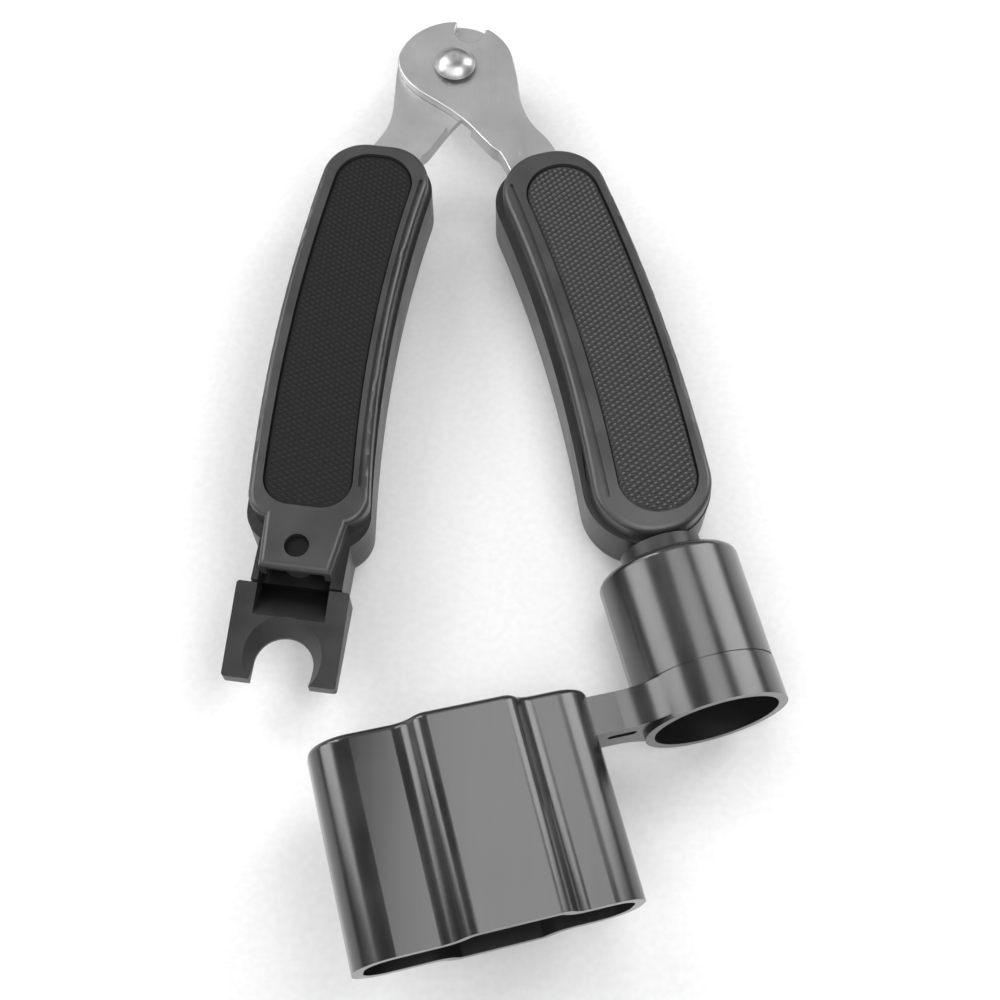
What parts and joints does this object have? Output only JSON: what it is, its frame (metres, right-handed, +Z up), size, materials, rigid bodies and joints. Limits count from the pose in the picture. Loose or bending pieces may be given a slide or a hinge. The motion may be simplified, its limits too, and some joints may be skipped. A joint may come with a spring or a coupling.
{
  "type": "string winder",
  "caption": "Plier-handled string winder for fretted instruments: side-cutting steel jaws, a free-spinning crank with a deep tuning-key cup, and a bridge-pin fork.",
  "frame": {"origin": "middle of the footprint, on the surface the tool lies on with its back down and its handles partly open", "axes": "+Y towards the cutter head, +Z up out of the front of the tool, +X towards the winder handle"},
  "size_m": [0.0822, 0.1656, 0.0259],
  "materials": {
    "blade_steel": "satin stamped steel with brighter edges",
    "rivet_steel": "polished domed head",
    "washer_steel": "plain zinc",
    "screw_steel": "zinc plated",
    "handle_plastic": "satin moulded, fine texture",
    "grip_rubber": "matte, moulded diagonal weave",
    "fork_plastic": "satin moulded",
    "crank_plastic": "semi-gloss moulded"
  },
  "bodies": {
    "winder_arm": {"front_cutter_plate": "blade_steel", "pivot_rivet": "rivet_steel", "pivot_washer": "washer_steel", "winder_handle_back_shell": "handle_plastic", "winder_handle_front_shell": "handle_plastic", "winder_front_grip": "grip_rubber", "winder_back_grip": "grip_rubber", "winder_handle_screws": "screw_steel", "crank_screw": "screw_steel", "crank_washer": "washer_steel"},
    "puller_arm": {"rear_cutter_plate": "blade_steel", "puller_handle_back_shell": "handle_plastic", "puller_handle_front_shell": "handle_plastic", "puller_front_grip": "grip_rubber", "puller_back_grip": "grip_rubber", "puller_handle_screws": "screw_steel", "pin_fork": "fork_plastic", "fork_screw": "screw_steel", "tongue_plug": "fork_plastic"},
    "crank_body": {"crank": "crank_plastic"}
  },
  "joints": [
    {"name": "plier_hinge", "type": "hinge", "parent": "winder_arm", "child": "puller_arm", "pos_m": [-0.00832, 0.07243, 0.01074], "axis": [0, 0, -1], "range_deg": [-15.5, 41]},
    {"name": "crank_spin", "type": "hinge", "parent": "winder_arm", "child": "crank_body", "pos_m": [0.03077, -0.04678, 0.01074], "axis": [0.2504, -0.9681, 0], "continuous": true}
  ]
}
